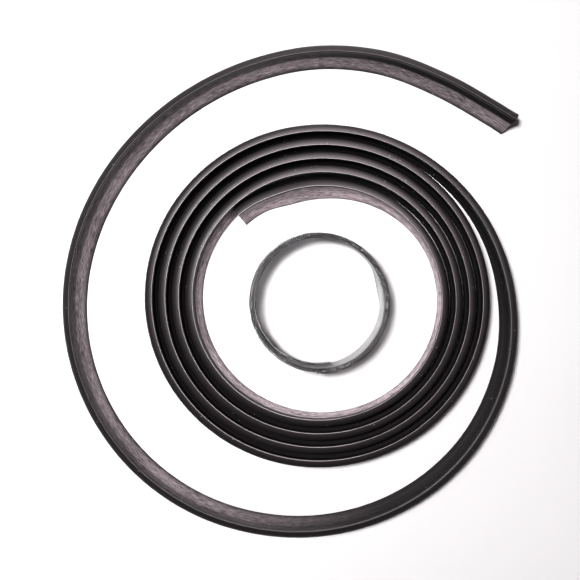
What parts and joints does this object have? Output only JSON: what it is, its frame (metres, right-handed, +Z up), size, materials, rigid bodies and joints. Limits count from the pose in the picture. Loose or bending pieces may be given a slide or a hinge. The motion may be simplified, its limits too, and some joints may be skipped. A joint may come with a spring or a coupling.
{
  "type": "coiled rubber track strip with wire carrier",
  "caption": "Black rubber track strip with a grooved land and a flared rough foot, in a flat coil with one loose outer turn, and a small coil of steel wire carrier inside it.",
  "frame": {"origin": "middle of the whole footprint, on the floor that the coils lie on", "axes": "+Z up, away from the floor; +Y towards the top of the flat coil, where the loose outer turn passes before its free end; +X to the right, seen from above. Both coils wind outward clockwise, seen from above"},
  "size_m": [0.4196, 0.4524, 0.02],
  "materials": {
    "rubber": "matt black extruded rubber, smooth on the land and buffed rough on the apron",
    "steel": "bare drawn steel wire, grey, darker along both edges"
  },
  "bodies": {
    "strip_coil": {"rubber_strip": "rubber"},
    "carrier_coil": {"carrier_wire": "steel"}
  },
  "joints": [
    {"name": "carrier_lift", "type": "slide", "parent": "strip_coil", "child": "carrier_coil", "axis": [0, 0, 1], "range_m": [0, 0.06]}
  ]
}
